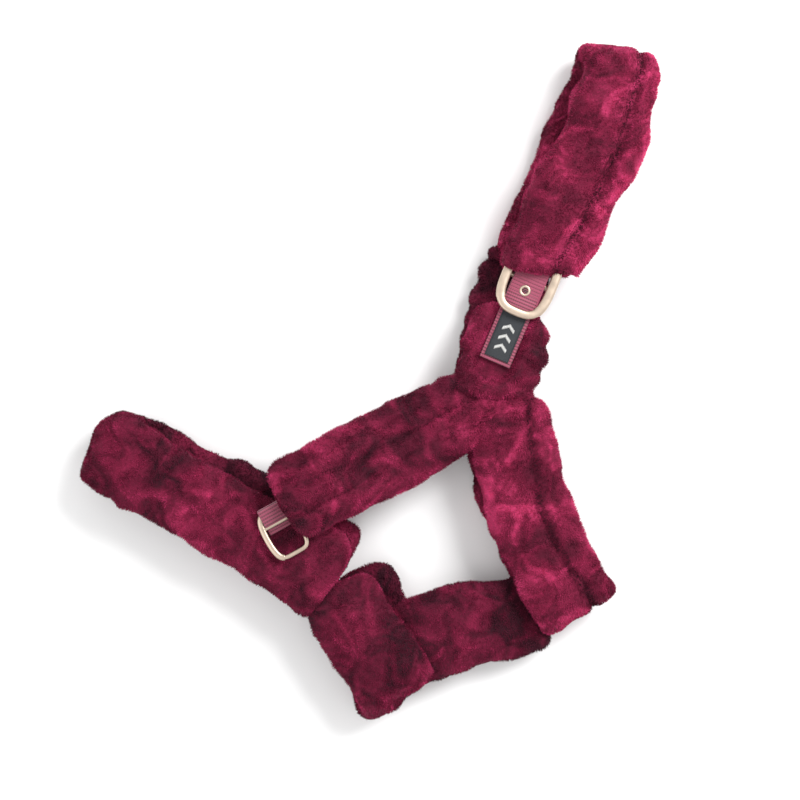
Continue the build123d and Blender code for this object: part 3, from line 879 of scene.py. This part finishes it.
class HC_OT_webbing(PieceOperator, bpy.types.Operator):
    """Ribbed webbing: the tail in the buckle, the labelled strap round its bar and the side ring's keeper"""
    bl_idname = "head_collar.webbing"
    bl_label = "Webbing"

    def execute(self, context):
        cloth = webbing_material()
        tail_z = 46.0
        tail_line = [
            buckle_point(at, 0, tail_z + 0.8 * math.exp(-((at - 22) / 6) ** 2))
            for at in np.arange(TAIL_END, -28, -WEB_STEP)
        ]
        tail = strap_piece("crown_strap_tail", tail_line, -BUCKLE_ACROSS, WEBBING_WIDTH, 1.8, cloth)
        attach(tail, "cheek_piece")
        low, high = 36.55, 43.45
        turn = np.linspace(math.pi / 2, 3 * math.pi / 2, 26)
        middle, reach = (low + high) / 2, (high - low) / 2
        upper = [buckle_point(at, 0, high + 0.25 * math.sin(at / 9)) for at in np.arange(68, 0.2, -WEB_STEP)]
        wrap = [buckle_point(math.cos(q) * reach, 0, middle + math.sin(q) * reach) for q in turn]
        lower = [buckle_point(at, 0, low) for at in np.arange(0.5, 86, 0.6)]
        anchor = strap_piece("label_strap", upper + wrap + lower, -BUCKLE_ACROSS, WEBBING_WIDTH, 1.6, cloth)
        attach(anchor, "cheek_piece")
        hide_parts("anchor_strap")
        a, b = side_ring_axis()
        along = (b - a) / np.linalg.norm(b - a)
        across = np.array([along[1], -along[0], 0])
        ring = node_centre("side_ring_near")
        route = [(2.0, -3.0), (6.0, -2.2), (10.0, 1.4), (13.0, 2.6), (17.0, 2.9), (20.0, 2.4), (22.2, 0.5),
                 (21.6, -2.6), (17.0, -3.6)]
        fine = spline_through(np.array(route), np.linspace(0, 1, 110))
        line = [ring + along * s + np.array([0, 0, z]) for s, z in fine]
        keeper = strap_piece("ring_keeper", line, across, 22.0, 1.6, cloth)
        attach(keeper, "noseband")
        for name in ("nose_webbing", "chin_webbing", "throat_webbing", "cheek_webbing_near",
                     "cheek_webbing_far", "jaw_webbing", "crown_webbing", "pad_webbing_far"):
            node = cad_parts[name]
            node.data.materials.clear()
            node.data.materials.append(shared_material("plain_woven_webbing", thread_material,
                                                       (170, 70, 100)))
        return {"FINISHED"}


class HC_OT_label(PieceOperator, bpy.types.Operator):
    """Charcoal woven label with a plain chevron motif and its edge stitching"""
    bl_idname = "head_collar.label"
    bl_label = "Woven Label"

    def execute(self, context):
        top = 44.7
        line = [buckle_point(at, 0, top + 0.25 * math.sin(at / 9)) for at in np.arange(27, 65.5, 0.5)]
        label = strap_piece("label_weave", line, -BUCKLE_ACROSS, 19.5, 0.9,
                            shared_material("charcoal_label", label_material), rib=0.0)
        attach(label, "cheek_piece")
        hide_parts("woven_label")
        z = top + 0.55
        edge = np.arange(28, 65, 1.5)
        starts, ends = [], []
        for side in (-8.9, 8.9):
            starts += [buckle_point(s, side, z) for s in edge]
            ends += [buckle_point(s + 1.0, side, z) for s in edge]
        for w in np.arange(-8.2, 8.0, 1.5):
            starts.append(buckle_point(64.4, w, z))
            ends.append(buckle_point(64.4, w + 1.0, z))
        dark = stitches("label_stitches", starts, ends, 0.22,
                        shared_material("charcoal_thread", thread_material, (38, 42, 46)), 0.2)
        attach(dark, "cheek_piece")
        starts, ends = [], []
        for middle in (38.0, 46.0, 54.0):
            for row in np.arange(-4.5, 4.6, 0.75):
                tilt = abs(row) * 0.7
                starts.append(buckle_point(middle - 1.6 + tilt, row, z))
                ends.append(buckle_point(middle + 1.6 + tilt, row, z))
        motif = stitches("label_chevrons", starts, ends, 0.42,
                         shared_material("white_thread", thread_material, (235, 235, 232)), 0.15)
        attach(motif, "cheek_piece")
        return {"FINISHED"}


class HC_OT_buckle(PieceOperator, bpy.types.Operator):
    """Pale gilt buckle rim with its centre bar, the eyelets and the tongue, and a painted shadow dish inside
    the eyelet
    """
    bl_idname = "head_collar.buckle"
    bl_label = "Buckle"

    def execute(self, context):
        metal = gilt()
        x, y = rounded_outline(26.2, 18.4, 3.1)
        rim_z = 49.1
        outline = np.array([
            np.append(buckle_point(u, w, rim_z), 1.0 - 0.10 * (abs(u) > 20))
            for u, w in zip(x, y)
        ])
        vertices, groups = closed_ring_mesh(loop_frame(outline, 7.2, 3.6))
        rim = mesh_object("buckle_rim", vertices, groups)
        rim.data.materials.append(metal)
        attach(rim, "cheek_piece")
        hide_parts("buckle_frame")
        route = np.array([(-18.2, 48.5), (-18.0, 44.0), (-16.4, 40.6), (-13, 40), (0, 40), (13, 40),
                          (16.4, 40.6), (18.0, 44.0), (18.2, 48.5)])
        fine = spline_through(route, np.linspace(0, 1, 80))
        vertices, groups = grid_mesh(round_bar([buckle_point(0, w, h) for w, h in fine], BAR_RADIUS))
        bar = mesh_object("buckle_bar", vertices, groups)
        bar.data.materials.append(metal)
        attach(bar, "cheek_piece")
        q = np.linspace(0, 2 * math.pi, 48, endpoint=False)
        section = np.array([(2.3, -0.6), (2.35, 0.2), (2.7, 0.62), (3.4, 0.75), (4.0, 0.6), (4.4, 0.15),
                            (4.3, -0.1), (3.2, -0.2), (2.6, -0.6)])
        where = buckle_point(EYELET_PLACE, 0, 46.95)
        points = np.stack([np.outer(np.cos(q), section[:, 0]) + where[0],
                           np.outer(np.sin(q), section[:, 0]) + where[1],
                           np.zeros((48, 1)) + section[:, 1] + where[2]], axis=-1)
        vertices, groups = closed_ring_mesh(points)
        eyelet = mesh_object("tail_eyelet", vertices, groups)
        eyelet.data.materials.append(metal)
        # Painted shadow: a shallow dark dish sits inside the eyelet, where the strap has no hole, and stands
        # in for the shade inside it.
        disc = np.linspace(0, 2 * math.pi, 24, endpoint=False)
        plate = np.stack([np.stack([np.cos(disc) * r + where[0], np.sin(disc) * r + where[1],
                                    np.zeros(24) + h], axis=-1)
                          for r, h in ((2.0, 46.95), (2.45, 46.9), (2.4, 46.4), (0.4, 46.3))])
        vertices, groups = grid_mesh(plate)
        painted_hole_shadow = mesh_object("eyelet_painted_hole_shadow", vertices, groups)
        painted_hole_shadow.data.materials.append(shared_material("eyelet_shadow", thread_material, (34, 16, 22)))
        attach(painted_hole_shadow, "cheek_piece")
        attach(eyelet, "cheek_piece")
        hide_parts("eyelets")
        for name in ("tongue", "side_ring_far", "upper_ring_near", "upper_ring_far", "chin_ring"):
            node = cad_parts[name]
            node.data.materials.clear()
            node.data.materials.append(metal)
        return {"FINISHED"}


class HC_OT_side_ring(PieceOperator, bpy.types.Operator):
    """Near side ring: a square ring with a bowed outer bar and a crossbar"""
    bl_idname = "head_collar.side_ring"
    bl_label = "Side Ring"

    def execute(self, context):
        a, b = side_ring_axis()
        along = (b - a) / np.linalg.norm(b - a)
        across = np.array([along[1], -along[0], 0])
        centre = node_centre("side_ring_near")
        x, y = rounded_outline(18.6, 12.6, 5.0, 200)
        bow = 1.8 * np.cos(np.clip(x / 18.6, -1, 1) * math.pi / 2) * (y < 0)
        thick = 1.0 + 0.45 * (y < -9)
        outline = np.column_stack([centre[0] + along[0] * x + across[0] * (y - bow),
                                   centre[1] + along[1] * x + across[1] * (y - bow),
                                   np.full(len(x), centre[2]), thick])
        vertices, groups = closed_ring_mesh(loop_frame(outline, 3.4, 3.4))
        ring = mesh_object("near_side_ring", vertices, groups)
        ring.data.materials.append(gilt())
        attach(ring, "noseband")
        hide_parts("side_ring_near")
        line = [centre + along * 8.0 + across * w for w in np.linspace(-13.2, 12.8, 24)]
        vertices, groups = grid_mesh(round_bar(line, 1.5))
        bar = mesh_object("side_ring_crossbar", vertices, groups)
        bar.data.materials.append(gilt())
        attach(bar, "noseband")
        return {"FINISHED"}


class HC_OT_stage(PieceOperator, bpy.types.Operator):
    """White floor, soft lights from the upper right and the camera straight overhead"""
    bl_idname = "head_collar.stage"
    bl_label = "Stage"

    def execute(self, context):
        scene = context.scene
        floor = bpy.data.meshes.new("floor")
        floor.from_pydata([(-4, -4, -0.0006), (4, -4, -0.0006), (4, 4, -0.0006), (-4, 4, -0.0006)], [],
                          [(0, 1, 2, 3)])
        ground = bpy.data.objects.new("floor", floor)
        scene.collection.objects.link(ground)
        material, _, _, shader = new_material("white_paper")
        shader.inputs["Base Color"].default_value = (0.93, 0.93, 0.93, 1)
        shader.inputs["Roughness"].default_value = 0.9
        floor.materials.append(material)
        world = bpy.data.worlds.new("studio")
        world.use_nodes = True
        world.node_tree.nodes["Background"].inputs["Color"].default_value = (1, 1, 1, 1)
        world.node_tree.nodes["Background"].inputs["Strength"].default_value = 0.85
        scene.world = world
        scene.view_settings.view_transform = "Standard"
        for name, place, size, power in (("key", (0.9, 0.7, 1.2), 0.7, 26.0),
                                         ("fill", (-1.1, -0.4, 1.3), 1.4, 7.0)):
            light = bpy.data.lights.new(name, "AREA")
            light.size = size
            light.energy = power
            lamp = bpy.data.objects.new(name, light)
            lamp.location = place
            lamp.rotation_euler = (-Vector(place)).to_track_quat("-Z", "Y").to_euler()
            scene.collection.objects.link(lamp)
        lens = bpy.data.cameras.new("overhead")
        lens.lens = 85
        lens.sensor_width = 36
        lens.clip_end = 20
        camera = bpy.data.objects.new("overhead", lens)
        view_width = 0.616
        camera.location = (0.0227, -0.0176, 0.04 + view_width * lens.lens / lens.sensor_width)
        scene.collection.objects.link(camera)
        scene.camera = camera
        return {"FINISHED"}


class HC_PT_panel(bpy.types.Panel):
    """Sidebar panel with the sizes, the colours and the pieces"""
    bl_idname = "HC_PT_panel"
    bl_label = "Head Collar"
    bl_space_type = "VIEW_3D"
    bl_region_type = "UI"
    bl_category = "Head Collar"

    def draw(self, context):
        settings = context.scene.head_collar
        for name in ("pile_length", "pile_density", "puff", "shade_dark", "shade_middle", "shade_light"):
            self.layout.prop(settings, name)
        for operator in PIECES:
            self.layout.operator(operator.bl_idname)


PIECES = (HC_OT_stage, HC_OT_crown, HC_OT_noseband, HC_OT_throat, HC_OT_jaw, HC_OT_cheeks, HC_OT_pads,
          HC_OT_webbing,
          HC_OT_label, HC_OT_buckle, HC_OT_side_ring)
CLASSES = (HC_settings,) + PIECES + (HC_PT_panel,)


def register():
    """Registers the classes and the scene's settings."""
    for entry in CLASSES:
        bpy.utils.register_class(entry)
    bpy.types.Scene.head_collar = bpy.props.PointerProperty(type=HC_settings)


def unregister():
    """Takes the settings and the classes away."""
    del bpy.types.Scene.head_collar
    for entry in reversed(CLASSES):
        bpy.utils.unregister_class(entry)


def main():
    """Builds every piece in order."""
    register()
    for operator in PIECES:
        group, name = operator.bl_idname.split(".")
        getattr(getattr(bpy.ops, group), name)()


if __name__ == "__main__":
    main()
